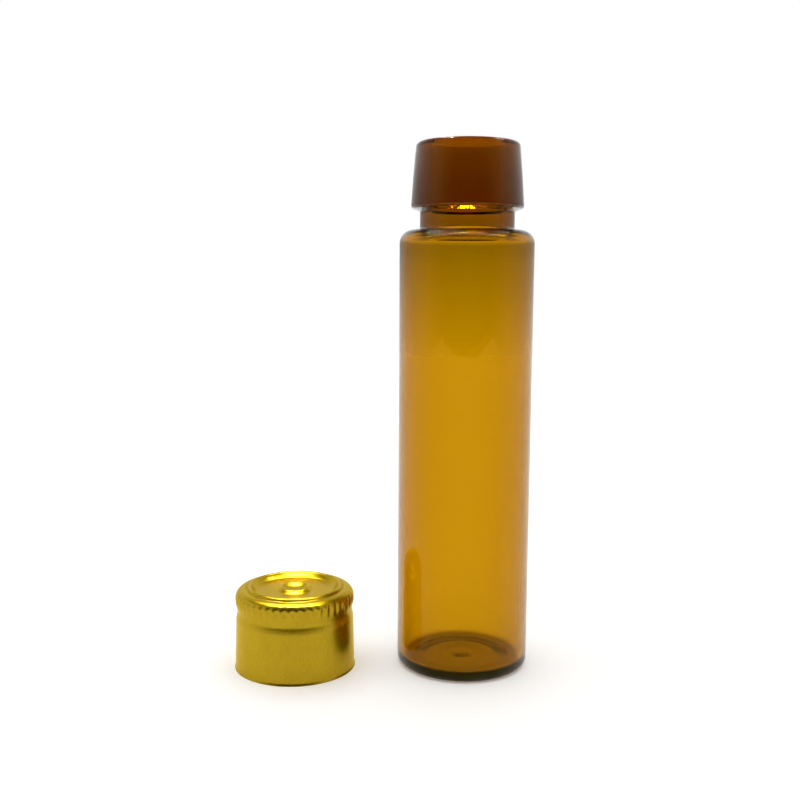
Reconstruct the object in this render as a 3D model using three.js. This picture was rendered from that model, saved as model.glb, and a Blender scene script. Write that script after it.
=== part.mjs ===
// Amber glass sample vial with its gold-lacquered aluminium cap standing mouth-down beside it.
// Millimetres, +Z up. The origin is on the table, at the middle of the pair's footprint.
import * as THREE from "three";

// Vial, measured from the surface it stands on.
const BODY_RADIUS = 10.0;
const VIAL_HEIGHT = 78.8;
const WALL = 1.0;
const HEEL_RADIUS = 1.2;
const BEARING_RING_INNER_RADIUS = 7.7;
const PUNT_RADIUS = 5.4;
const PUNT_RISE = 0.4;
const PIP_DEPTH = 0.2;
const PIP_RADIUS = 1.9;
const FLOOR_HEIGHT = 1.45;
const FLOOR_CORNER_RADIUS = 0.5;
const SHOULDER_TOP = 66.1;
const SHOULDER_RADIUS = 2.0;
const NECK_RADIUS = 7.0;
const NECK_FILLET = 0.45;
const BORE_RADIUS = 5.4;
const THROAT_ROUNDING = 1.2;
const INNER_SHOULDER_TOP = 65.1;
const INNER_SHOULDER_RADIUS = 1.0;

// Collar, the plain sealing finish round the mouth.
const COLLAR_UNDERSIDE = 68.85;
const COLLAR_UNDERSIDE_RISE = 0.3;
const COLLAR_FILLET = 0.15;
const COLLAR_EDGE_RADIUS = 0.5;
const COLLAR_BOTTOM_RADIUS = 8.33;
const COLLAR_TOP_RADIUS = 7.66;
const COLLAR_BULGE = 0.04;
const LIP_RADIUS = 0.65;
const MOUTH_ROUNDING = 0.8;

// Cap, measured from its skirt's edge.
const SHEET = 0.25;
const SKIRT_EDGE_RADIUS = 9.2;
const SKIRT_RADIUS = 9.05;
const SKIRT_TOP_RADIUS = 8.93;
const SKIRT_TOP = 7.3;
const WAIST_RADIUS = 8.72;
const WAIST_HEIGHT = 8.75;
const HEAD_RADIUS = 9.0;
const HEAD_HEIGHT = 10.6;
const CAP_SHOULDER_RADIUS = 1.25;
const CAP_SHOULDER_TOP = 12.1;
const BEAD_RADIUS = 6.85;
const BEAD_TUBE_RADIUS = 0.42;
const BEAD_HEIGHT = 12.1;
const PANEL_HEIGHT = 11.7;
const PANEL_RADIUS = 5.6;
const BOSS_FOOT_RADIUS = 2.6;
const BOSS_RADIUS = 2.05;
const BOSS_RISE = 0.45;
const PIT_RADIUS = 1.2;

// Knurl, rolled into the upper part of the cap's head.
const KNURL_TEETH = 48;
const KNURL_DEPTH = 0.25;
const KNURL_LOW = 9.3;
const KNURL_HIGH = 11.9;
const KNURL_FADE = 0.5;

// Sealing liner: a foam wad with a thin film on the side that meets the rim.
const LINER_RADIUS = 8.2;
const LINER_GAP = 0.05;
const WAD_THICKNESS = 1.0;
const FACING_THICKNESS = 0.15;

// Where the cap's axis stands, from the vial's.
const CAP_SPREAD = new THREE.Vector2(-25.7, -2.1);

const VIAL_SEGMENTS = 48;
const CAP_SEGMENTS = 2 * KNURL_TEETH;
const LINER_SEGMENTS = 48;
const QUARTER = Math.PI / 2;

// Points on an arc of a profile, from one angle to another, both ends included.
function arc(centreR, centreZ, radius, from, to, steps) {
  const points = [];
  for (let i = 0; i <= steps; i += 1) {
    const angle = from + ((to - from) * i) / steps;
    points.push(new THREE.Vector2(centreR + radius * Math.cos(angle), centreZ + radius * Math.sin(angle)));
  }
  return points;
}

function line(...pairs) {
  return pairs.map(([r, z]) => new THREE.Vector2(r, z));
}

// Turns a profile that starts and ends on the axis, and rises along its outer side, about +Z.
function revolve(profile, segments) {
  const geometry = new THREE.LatheGeometry(profile, segments);
  geometry.rotateX(QUARTER);
  return geometry;
}

function vialBase() {
  return [
    ...line([0, PUNT_RISE - PIP_DEPTH], [PIP_RADIUS, PUNT_RISE]),
    ...line([PUNT_RADIUS, PUNT_RISE], [BEARING_RING_INNER_RADIUS, 0]),
    ...arc(BODY_RADIUS - HEEL_RADIUS, HEEL_RADIUS, HEEL_RADIUS, -QUARTER, 0, 5),
  ];
}

function vialShoulder() {
  const neckFoot = SHOULDER_TOP + NECK_FILLET;
  return [
    ...arc(BODY_RADIUS - SHOULDER_RADIUS, SHOULDER_TOP - SHOULDER_RADIUS, SHOULDER_RADIUS, 0, QUARTER, 5),
    ...arc(NECK_RADIUS + NECK_FILLET, neckFoot, NECK_FILLET, -QUARTER, -2 * QUARTER, 3),
  ];
}

function collar() {
  const neckHead = COLLAR_UNDERSIDE - COLLAR_FILLET;
  const edge = COLLAR_BOTTOM_RADIUS - COLLAR_EDGE_RADIUS;
  const wallFoot = COLLAR_UNDERSIDE + COLLAR_UNDERSIDE_RISE + COLLAR_EDGE_RADIUS;
  const wallTop = VIAL_HEIGHT - LIP_RADIUS;
  const middle = (COLLAR_BOTTOM_RADIUS + COLLAR_TOP_RADIUS) / 2 + COLLAR_BULGE;
  return [
    ...arc(NECK_RADIUS + COLLAR_FILLET, neckHead, COLLAR_FILLET, 2 * QUARTER, QUARTER, 3),
    ...arc(edge, wallFoot, COLLAR_EDGE_RADIUS, -QUARTER, 0, 3),
    ...line([middle, (wallFoot + wallTop) / 2]),
    ...arc(COLLAR_TOP_RADIUS - LIP_RADIUS, wallTop, LIP_RADIUS, 0, QUARTER, 4),
  ];
}

function vialInside() {
  const innerRadius = BODY_RADIUS - WALL;
  const cornerRadius = innerRadius - FLOOR_CORNER_RADIUS;
  const mouthCentre = BORE_RADIUS + MOUTH_ROUNDING;
  const throatCentre = BORE_RADIUS + THROAT_ROUNDING;
  const shoulderFoot = INNER_SHOULDER_TOP - INNER_SHOULDER_RADIUS;
  return [
    ...arc(mouthCentre, VIAL_HEIGHT - MOUTH_ROUNDING, MOUTH_ROUNDING, QUARTER, 2 * QUARTER, 3),
    ...arc(throatCentre, INNER_SHOULDER_TOP + THROAT_ROUNDING, THROAT_ROUNDING, -2 * QUARTER, -QUARTER, 3),
    ...arc(innerRadius - INNER_SHOULDER_RADIUS, shoulderFoot, INNER_SHOULDER_RADIUS, QUARTER, 0, 4),
    ...arc(cornerRadius, FLOOR_HEIGHT + FLOOR_CORNER_RADIUS, FLOOR_CORNER_RADIUS, 0, -QUARTER, 4),
    ...line([0, FLOOR_HEIGHT]),
  ];
}

function glassVial() {
  const profile = [...vialBase(), ...vialShoulder(), ...collar(), ...vialInside()];
  const material = new THREE.MeshStandardMaterial({
    color: 0xb9860a,
    roughness: 0.05,
    metalness: 0,
    transparent: true,
    opacity: 0.7,
  });
  const mesh = new THREE.Mesh(revolve(profile, VIAL_SEGMENTS), material);
  mesh.name = "glass_vial";
  return mesh;
}

function skirtOutline() {
  return line(
    [SKIRT_EDGE_RADIUS, 0],
    [SKIRT_RADIUS, 0.8],
    [SKIRT_RADIUS, SKIRT_TOP * 0.4],
    [SKIRT_TOP_RADIUS, SKIRT_TOP],
    [(SKIRT_TOP_RADIUS + WAIST_RADIUS) / 2, SKIRT_TOP + 0.75],
    [WAIST_RADIUS, WAIST_HEIGHT],
    [(HEAD_RADIUS + WAIST_RADIUS) / 2, WAIST_HEIGHT + 0.7],
    [HEAD_RADIUS, HEAD_HEIGHT],
  );
}

function crownOutline() {
  const shoulderR = HEAD_RADIUS - CAP_SHOULDER_RADIUS;
  const shoulderZ = CAP_SHOULDER_TOP - CAP_SHOULDER_RADIUS;
  return [
    ...arc(shoulderR, shoulderZ, CAP_SHOULDER_RADIUS, 0, QUARTER, 4),
    ...arc(BEAD_RADIUS, BEAD_HEIGHT, BEAD_TUBE_RADIUS, 0, 1.75 * QUARTER, 4),
    ...line([PANEL_RADIUS, PANEL_HEIGHT], [BOSS_FOOT_RADIUS, PANEL_HEIGHT]),
    ...line([BOSS_RADIUS, PANEL_HEIGHT + BOSS_RISE], [PIT_RADIUS, PANEL_HEIGHT], [0, PANEL_HEIGHT]),
  ];
}

// The inside of the sheet: every point of the outline moved one sheet thickness to its inner side.
function insideOf(outline, thickness) {
  const last = outline.length - 1;
  return outline.map((point, i) => {
    const before = outline[Math.max(i - 1, 0)];
    const after = outline[Math.min(i + 1, last)];
    const along = new THREE.Vector2().subVectors(after, before).normalize();
    const inner = new THREE.Vector2(point.x - thickness * along.y, point.y + thickness * along.x);
    if (i === 0) inner.y = point.y;
    if (i === last) inner.x = 0;
    return inner;
  });
}

// Rolls the teeth in: every second column of the head's sheet, outside and inside, sinks inward.
function knurl(geometry) {
  const position = geometry.getAttribute("position");
  for (let i = 0; i < position.count; i += 1) {
    const x = position.getX(i);
    const y = position.getY(i);
    const z = position.getZ(i);
    const radius = Math.hypot(x, y);
    const rise = Math.min((z - KNURL_LOW) / KNURL_FADE, (KNURL_HIGH - z) / KNURL_FADE);
    if (radius < BEAD_RADIUS + 1 || rise <= 0) continue;
    const wave = (1 - Math.cos(KNURL_TEETH * Math.atan2(y, x))) / 2;
    const scale = 1 - (KNURL_DEPTH * Math.min(rise, 1) * wave) / radius;
    position.setXY(i, x * scale, y * scale);
  }
  return geometry;
}

function capShell() {
  const outline = [...skirtOutline(), ...crownOutline()];
  const profile = [...insideOf(outline, SHEET).reverse(), ...outline];
  const material = new THREE.MeshStandardMaterial({ color: 0xc8aa14, roughness: 0.28, metalness: 1 });
  const mesh = new THREE.Mesh(knurl(revolve(profile, CAP_SEGMENTS)), material);
  mesh.name = "cap_shell";
  return mesh;
}

function disc(name, top, thickness, material) {
  const bottom = top - thickness;
  const profile = line([0, bottom], [LINER_RADIUS, bottom], [LINER_RADIUS, top], [0, top]);
  const mesh = new THREE.Mesh(revolve(profile, LINER_SEGMENTS), material);
  mesh.name = name;
  return mesh;
}

function liner() {
  const wadTop = PANEL_HEIGHT - SHEET - LINER_GAP;
  const facingTop = wadTop - WAD_THICKNESS - LINER_GAP;
  const foam = new THREE.MeshStandardMaterial({ color: 0xf1efe8, roughness: 0.9, metalness: 0 });
  const film = new THREE.MeshStandardMaterial({ color: 0xf7f6f2, roughness: 0.35, metalness: 0 });
  return [
    disc("liner_wad", wadTop, WAD_THICKNESS, foam),
    disc("liner_facing", facingTop, FACING_THICKNESS, film),
  ];
}

function samplePair() {
  const vial = new THREE.Group();
  vial.add(glassVial());

  const cap = new THREE.Group();
  cap.add(capShell(), ...liner());
  cap.position.set(CAP_SPREAD.x, CAP_SPREAD.y, 0);

  const vialCorner = new THREE.Vector2(BODY_RADIUS, BODY_RADIUS);
  const low = CAP_SPREAD.clone().subScalar(SKIRT_EDGE_RADIUS).min(vialCorner.clone().negate());
  const high = CAP_SPREAD.clone().addScalar(SKIRT_EDGE_RADIUS).max(vialCorner);
  const pair = new THREE.Group();
  pair.add(vial, cap);
  pair.position.set(-(low.x + high.x) / 2, -(low.y + high.y) / 2, 0);
  return pair;
}

export default samplePair();
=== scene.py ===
"""Amber glass sample vial and its gold-lacquered cap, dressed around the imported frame.

Lengths are named in millimetres and turned into Blender's metres where they are used. Each piece's axis
and outermost radius, the vial's height and the liner's levels come from the frame's own boxes.
"""

import math

import bpy
from mathutils import Matrix, Vector


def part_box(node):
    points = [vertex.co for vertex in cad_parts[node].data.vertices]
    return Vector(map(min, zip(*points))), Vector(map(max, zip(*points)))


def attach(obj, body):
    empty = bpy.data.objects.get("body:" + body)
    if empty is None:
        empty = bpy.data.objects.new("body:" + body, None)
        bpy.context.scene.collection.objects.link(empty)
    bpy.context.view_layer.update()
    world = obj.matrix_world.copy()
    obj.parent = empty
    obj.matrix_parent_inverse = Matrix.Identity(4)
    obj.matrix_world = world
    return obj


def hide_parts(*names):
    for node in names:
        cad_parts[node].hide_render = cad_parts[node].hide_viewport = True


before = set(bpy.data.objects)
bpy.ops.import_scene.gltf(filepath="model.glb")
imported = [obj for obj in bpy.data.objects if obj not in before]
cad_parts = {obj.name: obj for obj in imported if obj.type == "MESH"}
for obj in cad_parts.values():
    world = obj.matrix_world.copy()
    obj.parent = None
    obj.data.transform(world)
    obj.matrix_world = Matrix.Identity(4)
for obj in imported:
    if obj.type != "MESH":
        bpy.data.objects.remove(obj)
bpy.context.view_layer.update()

MM = 0.001
QUARTER = math.pi / 2


def measured(node):
    """The axis (x, y), outer radius, lowest and highest point of an upright round node, in mm."""
    low, high = (Vector(corner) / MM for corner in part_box(node))
    middle = (low + high) / 2
    return (middle.x, middle.y), (high.x - low.x) / 2, low.z, high.z


VIAL_AXIS, BODY_RADIUS, _, VIAL_HEIGHT = measured("glass_vial")
CAP_AXIS, SKIRT_EDGE_RADIUS, _, _ = measured("cap_shell")
_, LINER_RADIUS, WAD_BOTTOM, WAD_TOP = measured("liner_wad")
_, _, FACING_BOTTOM, FACING_TOP = measured("liner_facing")

# Vial, heights from the surface it stands on.
WALL = 1.0
HEEL_RADIUS = 1.2
BEARING_RING_INNER_RADIUS = 7.7
PUNT_RADIUS = 5.4
PUNT_RISE = 0.4
FLOOR_HEIGHT = 1.45
FLOOR_CORNER_RADIUS = 0.5
FLOOR_SAG = 0.12
PIP_RADIUS = 1.9
PIP_DEPTH = 0.14
SHOULDER_TOP = 66.1
SHOULDER_RADIUS = 2.0
NECK_RADIUS = 7.0
NECK_FILLET = 0.45
BORE_RADIUS = 5.4
THROAT_ROUNDING = 1.2
INNER_SHOULDER_TOP = 65.1
INNER_SHOULDER_RADIUS = 1.0
COLLAR_UNDERSIDE = 68.85
COLLAR_UNDERSIDE_RISE = 0.3
COLLAR_FILLET = 0.15
COLLAR_EDGE_RADIUS = 0.5
COLLAR_BOTTOM_RADIUS = 8.33
COLLAR_TOP_RADIUS = 7.66
COLLAR_BULGE = 0.04
LIP_RADIUS = 0.65
MOUTH_ROUNDING = 0.8

# Cap, heights from the skirt's edge.
SHEET = 0.25
SKIRT_RADIUS = 9.05
SKIRT_TOP_RADIUS = 8.93
SKIRT_TOP = 7.3
WAIST_RADIUS = 8.72
WAIST_HEIGHT = 8.75
HEAD_RADIUS = 9.0
HEAD_HEIGHT = 10.6
CAP_SHOULDER_RADIUS = 1.25
CAP_SHOULDER_TOP = 12.1
BEAD_RADIUS = 6.85
BEAD_TUBE_RADIUS = 0.42
BEAD_HEIGHT = 12.09
PANEL_HEIGHT = 11.7
PANEL_RADIUS = 5.6
BOSS_FOOT_RADIUS = 2.6
BOSS_RADIUS = 2.05
BOSS_RISE = 0.45
PIT_RADIUS = 1.2
KNURL_TEETH = 48
KNURL_DEPTH = 0.2
KNURL_LOW = 9.4
KNURL_HIGH = 11.75
KNURL_PEAK = 10.8
KNURL_INNER_RADIUS = BEAD_RADIUS + 0.9
KNURL_SHARPNESS = 1.8
LINER_EDGE_ROUNDING = 0.2

# A radius below this counts as being on the axis.
ON_AXIS = 1e-6

# How many steps a full turn has, for each piece.
VIAL_STEPS = 192
CAP_STEPS = 10 * KNURL_TEETH
LINER_STEPS = 128

# How many steps a stretch of an outline has.
LONG_STEPS = 24
BEAD_STEPS = 16
MIDDLE_STEPS = 12
SHORT_STEPS = 8
CURVE_STEPS = 6
DISC_FACE_STEPS = 10
DISC_EDGE_STEPS = 5


# ---- Outlines: lists of (radius, height) in mm ----


def arc(centre_r, centre_z, radius, start, end, steps=MIDDLE_STEPS):
    """Points on an arc of an outline, from one angle to another, both ends included."""
    angles = [start + (end - start) * i / steps for i in range(steps + 1)]
    return [(centre_r + radius * math.cos(a), centre_z + radius * math.sin(a)) for a in angles]


def between(a, b, c, d, t):
    """The Catmull-Rom value from b to c, with a before them and d after."""
    square = 2 * a - 5 * b + 4 * c - d
    cube = 3 * b - a - 3 * c + d
    return (2 * b + (c - a) * t + square * t**2 + cube * t**3) / 2


def smooth(points, steps=CURVE_STEPS):
    """A Catmull-Rom curve through the points."""
    ends = [points[0]] + list(points) + [points[-1]]
    curve = []
    for p0, p1, p2, p3 in zip(ends, ends[1:], ends[2:], ends[3:]):
        for i in range(steps):
            curve.append(tuple(between(*values, i / steps) for values in zip(p0, p1, p2, p3)))
    return curve + [points[-1]]


def straight(start, end, steps):
    """Points on a straight stretch, both ends included."""
    return [
        (start[0] + (end[0] - start[0]) * i / steps, start[1] + (end[1] - start[1]) * i / steps)
        for i in range(steps + 1)
    ]


def vial_outside():
    """The glass from the middle of its underside, up its outer side, to the top of the lip."""
    pip = smooth([
        (0, PUNT_RISE - PIP_DEPTH),
        (PIP_RADIUS * 0.5, PUNT_RISE - PIP_DEPTH * 0.7),
        (PIP_RADIUS, PUNT_RISE),
    ])
    flank = smooth([
        (PUNT_RADIUS - 0.5, PUNT_RISE),
        (PUNT_RADIUS, PUNT_RISE - 0.02),
        ((PUNT_RADIUS + BEARING_RING_INNER_RADIUS) / 2, PUNT_RISE * 0.45),
        (BEARING_RING_INNER_RADIUS - 0.3, 0.02),
        (BEARING_RING_INNER_RADIUS, 0),
    ])
    underside = pip + straight(pip[-1], flank[0], SHORT_STEPS)[1:-1] + flank
    heel = arc(BODY_RADIUS - HEEL_RADIUS, HEEL_RADIUS, HEEL_RADIUS, -QUARTER, 0)
    shoulder = arc(
        BODY_RADIUS - SHOULDER_RADIUS,
        SHOULDER_TOP - SHOULDER_RADIUS,
        SHOULDER_RADIUS,
        0,
        QUARTER,
        LONG_STEPS,
    )
    wall = straight(heel[-1], shoulder[0], LONG_STEPS)[1:-1]
    neck_foot = arc(
        NECK_RADIUS + NECK_FILLET, SHOULDER_TOP + NECK_FILLET, NECK_FILLET, -QUARTER, -2 * QUARTER
    )
    neck_head = arc(
        NECK_RADIUS + COLLAR_FILLET, COLLAR_UNDERSIDE - COLLAR_FILLET, COLLAR_FILLET, 2 * QUARTER, QUARTER
    )
    return underside + heel + wall + shoulder + neck_foot + neck_head + collar_outside()


def collar_outside():
    """The collar from the edge of its underside to the top of the lip."""
    wall_foot = COLLAR_UNDERSIDE + COLLAR_UNDERSIDE_RISE + COLLAR_EDGE_RADIUS
    wall_top = VIAL_HEIGHT - LIP_RADIUS
    middle = (COLLAR_BOTTOM_RADIUS + COLLAR_TOP_RADIUS) / 2 + COLLAR_BULGE
    edge = arc(COLLAR_BOTTOM_RADIUS - COLLAR_EDGE_RADIUS, wall_foot, COLLAR_EDGE_RADIUS, -QUARTER, 0)
    lip = arc(COLLAR_TOP_RADIUS - LIP_RADIUS, wall_top, LIP_RADIUS, 0, QUARTER)
    wall = smooth([edge[-1], (middle, (wall_foot + wall_top) / 2), lip[0]], MIDDLE_STEPS)
    return edge + wall[1:-1] + lip


def vial_inside():
    """The glass from the top of the lip, down its inner side, to the middle of the floor."""
    inner_radius = BODY_RADIUS - WALL
    mouth = arc(
        BORE_RADIUS + MOUTH_ROUNDING,
        VIAL_HEIGHT - MOUTH_ROUNDING,
        MOUTH_ROUNDING,
        QUARTER,
        2 * QUARTER,
    )
    shoulder = arc(
        inner_radius - INNER_SHOULDER_RADIUS,
        INNER_SHOULDER_TOP - INNER_SHOULDER_RADIUS,
        INNER_SHOULDER_RADIUS,
        QUARTER,
        0,
        BEAD_STEPS,
    )
    throat = arc(
        BORE_RADIUS + THROAT_ROUNDING,
        INNER_SHOULDER_TOP + THROAT_ROUNDING,
        THROAT_ROUNDING,
        -2 * QUARTER,
        -QUARTER,
    )
    bore = straight(mouth[-1], throat[0], MIDDLE_STEPS)[1:-1]
    corner = arc(
        inner_radius - FLOOR_CORNER_RADIUS,
        FLOOR_HEIGHT + FLOOR_CORNER_RADIUS,
        FLOOR_CORNER_RADIUS,
        0,
        -QUARTER,
    )
    wall = straight(shoulder[-1], corner[0], LONG_STEPS)[1:-1]
    floor = smooth([
        corner[-1],
        (inner_radius * 0.45, FLOOR_HEIGHT - FLOOR_SAG * 0.5),
        (PIP_RADIUS, FLOOR_HEIGHT - FLOOR_SAG),
        (PIP_RADIUS * 0.5, FLOOR_HEIGHT - FLOOR_SAG * 0.6),
        (0, FLOOR_HEIGHT - FLOOR_SAG * 0.4),
    ])
    return mouth + bore + throat + shoulder + wall + corner + floor[1:]


def cap_outside():
    """The sheet's outer side, from the skirt's edge to the middle of the boss's pit."""
    hem = smooth([
        (SKIRT_EDGE_RADIUS, 0),
        (SKIRT_RADIUS + 0.015, 0.35),
        (SKIRT_RADIUS, 0.9),
        (SKIRT_RADIUS, 1.5),
    ])
    waist = smooth([
        (SKIRT_TOP_RADIUS, SKIRT_TOP - 0.3),
        (SKIRT_TOP_RADIUS - 0.005, SKIRT_TOP),
        (SKIRT_TOP_RADIUS - 0.03, SKIRT_TOP + 0.35),
        ((SKIRT_TOP_RADIUS + WAIST_RADIUS) / 2, SKIRT_TOP + 0.8),
        (WAIST_RADIUS + 0.015, WAIST_HEIGHT - 0.2),
        (WAIST_RADIUS, WAIST_HEIGHT + 0.1),
        (WAIST_RADIUS + 0.02, WAIST_HEIGHT + 0.4),
        ((HEAD_RADIUS + WAIST_RADIUS) / 2, WAIST_HEIGHT + 0.9),
        (HEAD_RADIUS - 0.03, HEAD_HEIGHT - 0.45),
        (HEAD_RADIUS, HEAD_HEIGHT),
    ])
    skirt = hem + straight(hem[-1], waist[0], SHORT_STEPS)[1:-1] + waist
    shoulder = arc(
        HEAD_RADIUS - CAP_SHOULDER_RADIUS,
        CAP_SHOULDER_TOP - CAP_SHOULDER_RADIUS,
        CAP_SHOULDER_RADIUS,
        0,
        QUARTER,
        LONG_STEPS,
    )
    bead = arc(BEAD_RADIUS, BEAD_HEIGHT, BEAD_TUBE_RADIUS, 0, 1.75 * QUARTER, BEAD_STEPS)
    panel_edge = smooth([
        bead[-1],
        (PANEL_RADIUS + 0.35, PANEL_HEIGHT + 0.1),
        (PANEL_RADIUS, PANEL_HEIGHT + 0.02),
        (PANEL_RADIUS - 0.3, PANEL_HEIGHT),
    ])
    boss = smooth([
        (BOSS_FOOT_RADIUS + 0.2, PANEL_HEIGHT),
        (BOSS_FOOT_RADIUS, PANEL_HEIGHT + BOSS_RISE * 0.08),
        (BOSS_RADIUS + 0.2, PANEL_HEIGHT + BOSS_RISE * 0.75),
        (BOSS_RADIUS, PANEL_HEIGHT + BOSS_RISE),
        (BOSS_RADIUS - 0.2, PANEL_HEIGHT + BOSS_RISE * 0.85),
        (PIT_RADIUS, PANEL_HEIGHT + BOSS_RISE * 0.12),
        (PIT_RADIUS * 0.6, PANEL_HEIGHT),
        (PIT_RADIUS * 0.15, PANEL_HEIGHT),
        (0, PANEL_HEIGHT - 0.05),
    ])
    panel = straight(panel_edge[-1], boss[0], SHORT_STEPS)[1:-1]
    return skirt + shoulder[1:] + bead + panel_edge[1:] + panel + boss


def inside_of(outline, thickness):
    """The outline moved by the sheet's thickness to its inner side, never below its first point."""
    inner = []
    last = len(outline) - 1
    for i, (r, z) in enumerate(outline):
        before, after = Vector(outline[max(i - 1, 0)]), Vector(outline[min(i + 1, last)])
        along = (after - before).normalized()
        inner.append((max(r - thickness * along.y, 0), max(z + thickness * along.x, outline[0][1])))
    off_axis = [point for point in inner[:-1] if point[0] > ON_AXIS]
    return off_axis + [(0, inner[-1][1])]


def disc_outline(radius, bottom, top, rounding):
    """The outline of a disc with rounded edges, from the axis below to the axis above."""
    edge = radius - rounding
    lower = arc(edge, bottom + rounding, rounding, -QUARTER, 0, DISC_EDGE_STEPS)
    upper = arc(edge, top - rounding, rounding, 0, QUARTER, DISC_EDGE_STEPS)
    bottom_face = straight((0, bottom), lower[0], DISC_FACE_STEPS)[:-1]
    top_face = straight(upper[-1], (0, top), DISC_FACE_STEPS)[1:]
    return bottom_face + lower + upper + top_face


# ---- Meshes ----


def revolved(name, outline, axis, steps, shift=None):
    """A closed mesh from an outline that starts and ends on the axis.

    shift(radius, height, angle) is how far a point moves inward.
    """
    vertices, rings = [], []
    for r, z in outline:
        if r < ON_AXIS:
            rings.append([len(vertices)] * steps)
            vertices.append(Vector((axis[0], axis[1], z)) * MM)
            continue
        rings.append(range(len(vertices), len(vertices) + steps))
        for i in range(steps):
            angle = 2 * math.pi * i / steps
            radius = r - shift(r, z, angle) if shift else r
            point = Vector((axis[0] + radius * math.cos(angle), axis[1] + radius * math.sin(angle), z))
            vertices.append(point * MM)
    faces = []
    for low, high in zip(rings, rings[1:]):
        for i in range(steps):
            j = (i + 1) % steps
            corners = list(dict.fromkeys((low[i], low[j], high[j], high[i])))
            if len(corners) > 2:
                faces.append(corners)
    mesh = bpy.data.meshes.new(name)
    mesh.from_pydata(vertices, [], faces)
    mesh.shade_smooth()
    piece = bpy.data.objects.new(name, mesh)
    bpy.context.scene.collection.objects.link(piece)
    return piece


def knurl_shift(radius, height, angle):
    """How far the rolled flutes sink the head's sheet: deepest at the peak, fading above and below."""
    if radius < KNURL_INNER_RADIUS or not KNURL_LOW < height < KNURL_HIGH:
        return 0
    if height > KNURL_PEAK:
        depth = (KNURL_HIGH - height) / (KNURL_HIGH - KNURL_PEAK)
    else:
        depth = (height - KNURL_LOW) / (KNURL_PEAK - KNURL_LOW)
    flute = abs(math.sin(KNURL_TEETH * angle / 2)) ** KNURL_SHARPNESS
    return KNURL_DEPTH * depth * flute


# ---- Materials: bump heights in mm, colours linear ----

GLASS_IOR = 1.51
GLASS_TINT = (1.0, 0.9, 0.7)
GLASS_SHEEN = (0.6, 0.45, 0.08)
ABSORBED_PER_MM = (0.34, 0.61, 3.6)
DRAWN_LINE_BUMP = 0.003
RIPPLE_BUMP = 0.03

GOLD = (0.46, 0.31, 0.004)
GOLD_DEEP = (0.39, 0.25, 0.003)
GOLD_EDGE = (1.0, 0.85, 0.2)
GOLD_GRAIN_BUMP = 0.004
ORANGE_PEEL_BUMP = 0.006
COAT_WEIGHT = 0.25
COAT_ROUGHNESS = 0.16

BARE_METAL = (0.8, 0.8, 0.78)
BARE_METAL_DULL = (0.62, 0.62, 0.6)
SHEAR_MARK_BUMP = 0.006
PALE_LACQUER = (0.78, 0.72, 0.5)
PALE_LACQUER_DEEP = (0.7, 0.62, 0.38)
INNER_GRAIN_BUMP = 0.005

FOAM_WHITE = (0.9, 0.89, 0.85)
FOAM_SHADE = (0.82, 0.8, 0.75)
FOAM_CELLS_PER_MM = 3.2
FOAM_BUMP = 0.05
FILM_WHITE = (0.93, 0.92, 0.9)
FILM_SHADE = (0.87, 0.86, 0.82)
FILM_CELLS_PER_MM = 2.4
FILM_BUMP = 0.012


def new_material(name):
    """A new material and its Principled shader."""
    material = bpy.data.materials.new(name)
    material.use_nodes = True
    return material, material.node_tree.nodes["Principled BSDF"]


def add_node(material, kind, **inputs):
    """A node of a material, with its inputs set to values or linked from other nodes' outputs.

    An input goes by its name, or by i and its number.
    """
    tree = material.node_tree
    created = tree.nodes.new(kind)
    for key, value in inputs.items():
        by_number = key[0] == "i" and key[1:].isdigit()
        socket = created.inputs[int(key[1:]) if by_number else key]
        if isinstance(value, bpy.types.NodeSocket):
            tree.links.new(value, socket)
        else:
            socket.default_value = value
    return created


def link(material, output, socket):
    """Links an output to an input of the same material."""
    material.node_tree.links.new(output, socket)


def stretched_noise(material, axis, around, along, detail=3.0):
    """Noise with its own scale, per mm, across an upright axis and along it."""
    place = add_node(material, "ShaderNodeTexCoord").outputs["Object"]
    centre = (axis[0] * MM, axis[1] * MM, 0)
    local = add_node(material, "ShaderNodeVectorMath", i0=place, i1=centre)
    local.operation = "SUBTRACT"
    scaled = add_node(
        material, "ShaderNodeVectorMath", i0=local.outputs[0], i1=(around / MM, around / MM, along / MM)
    )
    scaled.operation = "MULTIPLY"
    noise = add_node(material, "ShaderNodeTexNoise", Vector=scaled.outputs[0], Scale=1.0, Detail=detail)
    return noise.outputs["Fac"]


def ranged(material, value, low, high, to_low, to_high):
    """A value mapped from one range to another, and held at its ends."""
    mapped = add_node(material, "ShaderNodeMapRange", i0=value, i1=low, i2=high, i3=to_low, i4=to_high)
    return mapped.outputs[0]


def bump(material, height, distance, normal=None):
    """A bump from a height between 0 and 1, its distance in mm, over another bump if one is given."""
    node = add_node(material, "ShaderNodeBump", Height=height, Strength=1.0, Distance=distance * MM)
    if normal:
        link(material, normal, node.inputs["Normal"])
    return node.outputs["Normal"]


def mixed(material, factor, first, second):
    """One colour blended into another by a factor."""
    node = add_node(material, "ShaderNodeMix")
    node.data_type = "RGBA"
    link(material, factor, node.inputs["Factor"])
    node.inputs["A"].default_value = (*first, 1)
    node.inputs["B"].default_value = (*second, 1)
    return node.outputs["Result"]


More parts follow.
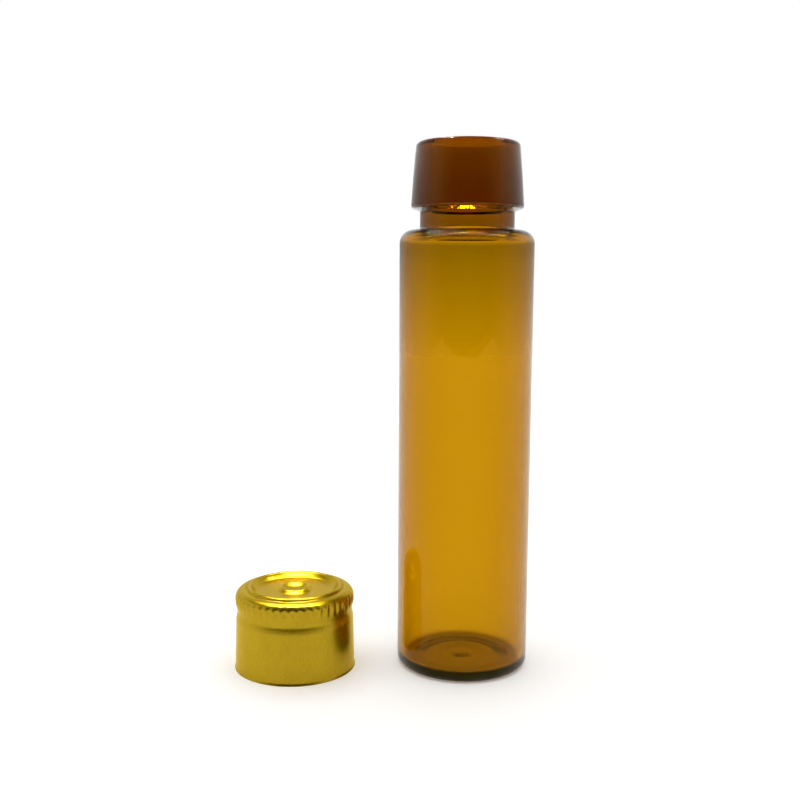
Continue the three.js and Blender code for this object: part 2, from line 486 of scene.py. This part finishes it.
def amber_glass():
    """Clear glass that darkens to amber with its thickness, with the faint lines of drawn tube."""
    material, shader = new_material("amber_glass")
    shader.inputs["Base Color"].default_value = (*GLASS_TINT, 1)
    shader.inputs["Transmission Weight"].default_value = 1.0
    shader.inputs["IOR"].default_value = GLASS_IOR
    shader.inputs["Specular Tint"].default_value = (*GLASS_SHEEN, 1)
    lines = stretched_noise(material, VIAL_AXIS, around=1.6, along=0.02)
    ripple = stretched_noise(material, VIAL_AXIS, around=0.25, along=0.12, detail=1.0)
    handled = stretched_noise(material, VIAL_AXIS, around=0.5, along=0.35, detail=4.0)
    link(material, ranged(material, handled, 0.35, 0.75, 0.0, 0.035), shader.inputs["Roughness"])
    soft = bump(material, ripple, RIPPLE_BUMP)
    link(material, bump(material, lines, DRAWN_LINE_BUMP, normal=soft), shader.inputs["Normal"])
    densest = max(ABSORBED_PER_MM)
    passed = [1 - amount / densest for amount in ABSORBED_PER_MM]
    volume = add_node(material, "ShaderNodeVolumeAbsorption", Color=(*passed, 1), Density=densest / MM)
    output = material.node_tree.nodes["Material Output"]
    link(material, volume.outputs["Volume"], output.inputs["Volume"])
    return material


def gold_lacquer():
    """Drawn aluminium under clear gold lacquer: fine upright grain and a satin sheen."""
    material, shader = new_material("gold_lacquer")
    grain = stretched_noise(material, CAP_AXIS, around=14.0, along=0.9)
    cloud = stretched_noise(material, CAP_AXIS, around=0.35, along=0.35, detail=2.0)
    orange_peel = stretched_noise(material, CAP_AXIS, around=3.5, along=3.5, detail=2.0)
    link(material, mixed(material, cloud, GOLD, GOLD_DEEP), shader.inputs["Base Color"])
    link(material, ranged(material, grain, 0.3, 0.7, 0.24, 0.36), shader.inputs["Roughness"])
    grained = bump(material, grain, GOLD_GRAIN_BUMP)
    link(material, bump(material, orange_peel, ORANGE_PEEL_BUMP, normal=grained), shader.inputs["Normal"])
    shader.inputs["Metallic"].default_value = 1.0
    shader.inputs["Specular Tint"].default_value = (*GOLD_EDGE, 1)
    shader.inputs["Coat Weight"].default_value = COAT_WEIGHT
    shader.inputs["Coat Roughness"].default_value = COAT_ROUGHNESS
    return material


def bare_edge():
    """The skirt's cut edge: bare aluminium with fine shear marks across the sheet."""
    material, shader = new_material("bare_edge")
    marks = stretched_noise(material, CAP_AXIS, around=9.0, along=0.5)
    link(material, mixed(material, marks, BARE_METAL_DULL, BARE_METAL), shader.inputs["Base Color"])
    link(material, ranged(material, marks, 0.3, 0.7, 0.3, 0.5), shader.inputs["Roughness"])
    link(material, bump(material, marks, SHEAR_MARK_BUMP), shader.inputs["Normal"])
    shader.inputs["Metallic"].default_value = 1.0
    return material


def inner_lacquer():
    """The inside of the sheet: aluminium under a thin pale protective lacquer."""
    material, shader = new_material("inner_lacquer")
    grain = stretched_noise(material, CAP_AXIS, around=10.0, along=0.7)
    cloud = stretched_noise(material, CAP_AXIS, around=0.5, along=0.5, detail=2.0)
    link(material, mixed(material, cloud, PALE_LACQUER, PALE_LACQUER_DEEP), shader.inputs["Base Color"])
    link(material, ranged(material, grain, 0.3, 0.7, 0.32, 0.46), shader.inputs["Roughness"])
    link(material, bump(material, grain, INNER_GRAIN_BUMP), shader.inputs["Normal"])
    shader.inputs["Metallic"].default_value = 1.0
    return material


def white_foam():
    """Closed-cell foam: small cells with thin walls, slightly uneven white."""
    material, shader = new_material("white_foam")
    place = add_node(material, "ShaderNodeTexCoord").outputs["Object"]
    cells = add_node(material, "ShaderNodeTexVoronoi", Vector=place, Scale=FOAM_CELLS_PER_MM / MM)
    tint = stretched_noise(material, CAP_AXIS, around=0.6, along=0.6)
    link(material, mixed(material, tint, FOAM_WHITE, FOAM_SHADE), shader.inputs["Base Color"])
    link(material, bump(material, cells.outputs["Distance"], FOAM_BUMP), shader.inputs["Normal"])
    link(material, ranged(material, tint, 0.3, 0.7, 0.75, 0.95), shader.inputs["Roughness"])
    return material


def white_film():
    """Barrier film over foam: soft gloss, with the foam's cells printing through faintly."""
    material, shader = new_material("white_film")
    place = add_node(material, "ShaderNodeTexCoord").outputs["Object"]
    cells = add_node(material, "ShaderNodeTexVoronoi", Vector=place, Scale=FILM_CELLS_PER_MM / MM)
    tint = stretched_noise(material, CAP_AXIS, around=0.4, along=0.4)
    link(material, mixed(material, tint, FILM_WHITE, FILM_SHADE), shader.inputs["Base Color"])
    link(material, bump(material, cells.outputs["Distance"], FILM_BUMP), shader.inputs["Normal"])
    link(material, ranged(material, tint, 0.3, 0.7, 0.22, 0.38), shader.inputs["Roughness"])
    return material


# ---- Pieces ----

# Where the cap's second and third materials are in its list.
INNER_MATERIAL = 1
EDGE_MATERIAL = 2


def dress(piece, material, slot, body, *nodes):
    """Gives a piece its material and its body, and hides the CAD nodes it stands for; slot is not used.
    """
    piece.data.materials.append(material)
    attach(piece, body)
    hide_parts(*nodes)


def make_vial():
    """The glass vial, one solid body of glass."""
    piece = revolved("vial_glass", vial_outside() + vial_inside(), VIAL_AXIS, VIAL_STEPS)
    dress(piece, amber_glass(), "amber_glass", "vial", "glass_vial")


def make_cap():
    """The cap's sheet: its inner side, then the cut edge, then its outer side."""
    outside = cap_outside()
    inside = inside_of(outside, SHEET)[::-1]
    piece = revolved("cap_sheet", inside + outside, CAP_AXIS, CAP_STEPS, knurl_shift)
    dress(piece, gold_lacquer(), "gold_lacquered_aluminium", "cap", "cap_shell")
    piece.data.materials.append(inner_lacquer())
    piece.data.materials.append(bare_edge())
    inner_faces = (len(inside) - 1) * CAP_STEPS
    edge_faces = inner_faces + CAP_STEPS
    for polygon in piece.data.polygons:
        if polygon.index < inner_faces:
            polygon.material_index = INNER_MATERIAL
        elif polygon.index < edge_faces:
            polygon.material_index = EDGE_MATERIAL


def make_liner():
    """The foam wad, and the film on its lower side."""
    wad = revolved(
        "foam_wad",
        disc_outline(LINER_RADIUS, WAD_BOTTOM, WAD_TOP, LINER_EDGE_ROUNDING),
        CAP_AXIS,
        LINER_STEPS,
    )
    dress(wad, white_foam(), "white_foam", "cap", "liner_wad")
    film_rounding = (FACING_TOP - FACING_BOTTOM) / 3
    film = revolved(
        "barrier_film",
        disc_outline(LINER_RADIUS, FACING_BOTTOM, FACING_TOP, film_rounding),
        CAP_AXIS,
        LINER_STEPS,
    )
    dress(film, white_film(), "white_film", "cap", "liner_facing")


# ---- Studio: lengths in mm, angles in radians ----

FLOOR_HALF_SIDE = 600.0
# The floor lies this far under the vial, so that it never coincides with the glass.
FLOOR_GAP = 0.03
FLOOR_COLOR = (0.93, 0.93, 0.92)
FLOOR_ROUGHNESS = 0.6
FLOOR_SPECULAR = 0.2
FLOOR_GLOW_COLOR = (1.0, 0.97, 0.92)
FLOOR_GLOW = 0.2

# The camera's place is measured from the foot of the vial's axis.
CAMERA_OFFSET = (-9.8, -150.3, 59.2)
CAMERA_PITCH = 0.1226
CAMERA_ROLL = 0.0059
CAMERA_LENS = 45.0
CAMERA_NEAR = 10.0

# The tent's edges are heights (Z) or depths (Y) of a unit direction.
FRONT_EDGE = (-0.95, -0.2)
ROOF_EDGE = (0.45, 0.75)
ROOF_GLOW = 0.04
SWEEP_EDGE = (-0.09, 0.04)
SWEEP_LOW = 1.15
SWEEP_HIGH = 0.5
WALL_EDGE = (0.03, 0.2)
WALL_GLOW = 2.0

SUN_STRENGTH = 2.3
SUN_ANGLE = 1.4
SUN_HEIGHT = 400
LED_COUNT = 24
LED_PITCH = 12.0
LED_HEIGHT = 250.0
LED_ROWS = (-48.0, 74.0)
LED_WATTS = 0.14
LED_RADIUS = 3.0


def make_camera():
    """The camera, placed from the vial's axis, looking along +Y and down, with a slight roll."""
    forward = Vector((0, math.cos(CAMERA_PITCH), -math.sin(CAMERA_PITCH)))
    level = Vector((1, 0, 0))
    rise = level.cross(forward)
    right = level * math.cos(CAMERA_ROLL) + rise * math.sin(CAMERA_ROLL)
    up = rise * math.cos(CAMERA_ROLL) - level * math.sin(CAMERA_ROLL)
    turn = Matrix((right, up, -forward)).transposed().to_4x4()
    place = Vector((VIAL_AXIS[0], VIAL_AXIS[1], 0)) + Vector(CAMERA_OFFSET)
    camera = bpy.data.objects.new("camera", bpy.data.cameras.new("camera"))
    camera.data.lens = CAMERA_LENS
    camera.data.clip_start = CAMERA_NEAR * MM
    camera.matrix_world = Matrix.Translation(place * MM) @ turn
    bpy.context.scene.collection.objects.link(camera)
    bpy.context.scene.camera = camera


def make_floor():
    """A plain pale floor that glows a little."""
    half = FLOOR_HALF_SIDE * MM
    height = -FLOOR_GAP * MM
    corners = [(-half, -half, height), (half, -half, height), (half, half, height), (-half, half, height)]
    mesh = bpy.data.meshes.new("floor")
    mesh.from_pydata(corners, [], [(0, 1, 2, 3)])
    floor = bpy.data.objects.new("floor", mesh)
    bpy.context.scene.collection.objects.link(floor)
    material, shader = new_material("floor")
    shader.inputs["Base Color"].default_value = (*FLOOR_COLOR, 1)
    shader.inputs["Roughness"].default_value = FLOOR_ROUGHNESS
    shader.inputs["Specular IOR Level"].default_value = FLOOR_SPECULAR
    shader.inputs["Emission Color"].default_value = (*FLOOR_GLOW_COLOR, 1)
    shader.inputs["Emission Strength"].default_value = FLOOR_GLOW
    mesh.materials.append(material)


def tent_band(tree, part, edges, low, high, easing="LINEAR"):
    """A brightness that goes from low to high between two edges of one part of the direction."""
    band = tree.nodes.new("ShaderNodeMapRange")
    band.interpolation_type = easing
    tree.links.new(part, band.inputs[0])
    for index, value in enumerate((*edges, low, high), start=1):
        band.inputs[index].default_value = value
    return band.outputs[0]


def make_tent():
    """A white light tent: dark on the camera's side and overhead, and dimmer just above the horizon.

    The glass, the metal and the lighting see the tent. The camera itself sees plain white.
    """
    world = bpy.data.worlds.new("tent")
    world.use_nodes = True
    bpy.context.scene.world = world
    tree = world.node_tree
    nodes, links = tree.nodes, tree.links
    parts = nodes.new("ShaderNodeSeparateXYZ")
    links.new(nodes.new("ShaderNodeTexCoord").outputs["Generated"], parts.inputs[0])
    depth, height = parts.outputs["Y"], parts.outputs["Z"]
    glow = tent_band(tree, depth, FRONT_EDGE, 0.0, 1.0, "SMOOTHSTEP")
    for band in (
        tent_band(tree, height, ROOF_EDGE, 1.0, ROOF_GLOW, "SMOOTHSTEP"),
        tent_band(tree, height, SWEEP_EDGE, SWEEP_LOW, SWEEP_HIGH),
        tent_band(tree, height, WALL_EDGE, 1.0, WALL_GLOW),
    ):
        product = nodes.new("ShaderNodeMath")
        product.operation = "MULTIPLY"
        links.new(glow, product.inputs[0])
        links.new(band, product.inputs[1])
        glow = product.outputs[0]
    tent = nodes["Background"]
    tent.inputs["Color"].default_value = (1, 1, 1, 1)
    links.new(glow, tent.inputs["Strength"])
    backdrop = nodes.new("ShaderNodeBackground")
    backdrop.inputs["Color"].default_value = (1, 1, 1, 1)
    chosen = nodes.new("ShaderNodeMixShader")
    links.new(nodes.new("ShaderNodeLightPath").outputs["Is Camera Ray"], chosen.inputs["Fac"])
    links.new(tent.outputs[0], chosen.inputs[1])
    links.new(backdrop.outputs[0], chosen.inputs[2])
    links.new(chosen.outputs[0], nodes["World Output"].inputs["Surface"])


def make_lamp(name, kind, place, energy):
    """A lamp at a place in mm."""
    lamp = bpy.data.objects.new(name, bpy.data.lights.new(name, kind))
    lamp.data.energy = energy
    lamp.location = Vector(place) * MM
    bpy.context.scene.collection.objects.link(lamp)
    return lamp


def make_lights():
    """A broad soft light from straight above, and two rows of small lamps that show only as gleams."""
    sun = make_lamp("sky_soft", "SUN", (0, 0, SUN_HEIGHT), SUN_STRENGTH)
    sun.data.angle = SUN_ANGLE
    sun.visible_glossy = False
    sun.visible_transmission = False
    for row, y in enumerate(LED_ROWS):
        for i in range(LED_COUNT):
            x = (i - (LED_COUNT - 1) / 2) * LED_PITCH
            led = make_lamp(f"led_{row}_{i}", "POINT", (x, y, LED_HEIGHT), LED_WATTS)
            led.data.shadow_soft_size = LED_RADIUS * MM
            led.visible_diffuse = False


make_camera()
make_floor()
make_tent()
make_lights()
make_vial()
make_cap()
make_liner()

bpy.context.scene.view_settings.view_transform = "Standard"
